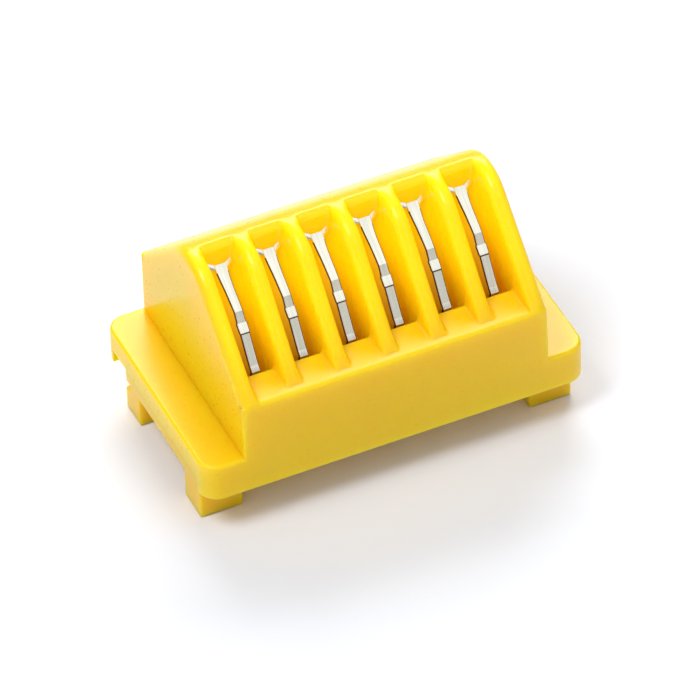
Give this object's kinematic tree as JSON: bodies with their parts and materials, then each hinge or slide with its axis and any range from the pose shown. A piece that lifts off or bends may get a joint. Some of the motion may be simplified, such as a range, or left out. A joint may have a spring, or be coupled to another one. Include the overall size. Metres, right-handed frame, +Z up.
{
  "type": "spring contact connector block",
  "caption": "Tent-shaped ribbed connector housing with a springy contact strip in each open cell, end flanges, and a footed base with solder lugs.",
  "frame": {"origin": "centre of the box in plan, on the plane the four feet stand on", "axes": "+X along the row of cells, -Y is the front face with the shelf, +Z up to the crest"},
  "size_m": [0.0408, 0.0244, 0.0247],
  "materials": {
    "housing_plastic": "glossy moulded yellow",
    "base_plastic": "glossy moulded yellow",
    "contact_metal": "bright tin plate"
  },
  "bodies": {
    "block": {"housing": "housing_plastic", "base": "base_plastic", "contact_tail_1": "contact_metal", "contact_tail_2": "contact_metal", "contact_tail_3": "contact_metal", "contact_tail_4": "contact_metal", "contact_tail_5": "contact_metal", "contact_tail_6": "contact_metal"},
    "leaf_1": {"contact_leaf_1": "contact_metal"},
    "leaf_2": {"contact_leaf_2": "contact_metal"},
    "leaf_3": {"contact_leaf_3": "contact_metal"},
    "leaf_4": {"contact_leaf_4": "contact_metal"},
    "leaf_5": {"contact_leaf_5": "contact_metal"},
    "leaf_6": {"contact_leaf_6": "contact_metal"}
  },
  "joints": [
    {"name": "leaf_1_flex", "type": "hinge", "parent": "block", "child": "leaf_1", "pos_m": [-0.0127, -0.00705, 0.01155], "axis": [-1, 0, 0], "range_deg": [0, 1.4], "stiffness_Nm_per_rad": 0.14},
    {"name": "leaf_2_flex", "type": "hinge", "parent": "block", "child": "leaf_2", "pos_m": [-0.00762, -0.00705, 0.01155], "axis": [-1, 0, 0], "range_deg": [0, 1.4], "stiffness_Nm_per_rad": 0.14},
    {"name": "leaf_3_flex", "type": "hinge", "parent": "block", "child": "leaf_3", "pos_m": [-0.00254, -0.00705, 0.01155], "axis": [-1, 0, 0], "range_deg": [0, 1.4], "stiffness_Nm_per_rad": 0.14},
    {"name": "leaf_4_flex", "type": "hinge", "parent": "block", "child": "leaf_4", "pos_m": [0.00254, -0.00705, 0.01155], "axis": [-1, 0, 0], "range_deg": [0, 1.4], "stiffness_Nm_per_rad": 0.14},
    {"name": "leaf_5_flex", "type": "hinge", "parent": "block", "child": "leaf_5", "pos_m": [0.00762, -0.00705, 0.01155], "axis": [-1, 0, 0], "range_deg": [0, 1.4], "stiffness_Nm_per_rad": 0.14},
    {"name": "leaf_6_flex", "type": "hinge", "parent": "block", "child": "leaf_6", "pos_m": [0.0127, -0.00705, 0.01155], "axis": [-1, 0, 0], "range_deg": [0, 1.4], "stiffness_Nm_per_rad": 0.14}
  ]
}
